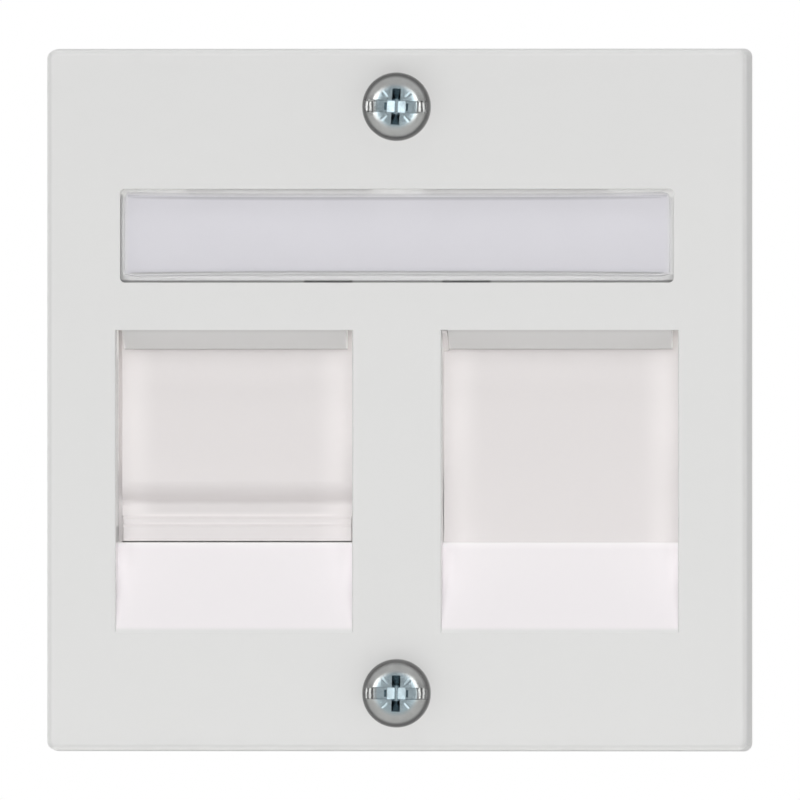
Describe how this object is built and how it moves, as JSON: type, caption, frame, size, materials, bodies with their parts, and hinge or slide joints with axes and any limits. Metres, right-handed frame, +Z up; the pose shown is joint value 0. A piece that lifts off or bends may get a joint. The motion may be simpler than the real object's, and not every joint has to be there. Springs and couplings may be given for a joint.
{
  "type": "data outlet centre plate",
  "caption": "Square white data outlet centre plate with a windowed label field, a port with a sliding dust shutter, a blanked port and captive fixing screws.",
  "frame": {"origin": "centre of the rear rim's plane, where the plate meets the mounting ring", "axes": "+Z up, the front looks along -Y, +X to the right as seen from the front"},
  "size_m": [0.05, 0.0179, 0.05],
  "materials": {
    "plate_plastic": "satin white",
    "shutter_plastic": "satin warm white",
    "clear_plastic": "clear, polished",
    "label_card": "plain card",
    "zinc_steel": "bright blue zinc plate"
  },
  "bodies": {
    "plate": {"face_plate": "plate_plastic", "label_window": "clear_plastic", "label_strip": "label_card", "blank_insert": "shutter_plastic", "upper_screw": "zinc_steel", "lower_screw": "zinc_steel"},
    "shutter": {"dust_shutter": "shutter_plastic"}
  },
  "joints": [
    {"name": "shutter_slide", "type": "slide", "parent": "plate", "child": "shutter", "axis": [0, 0, 1], "range_m": [0, 0.011]}
  ]
}
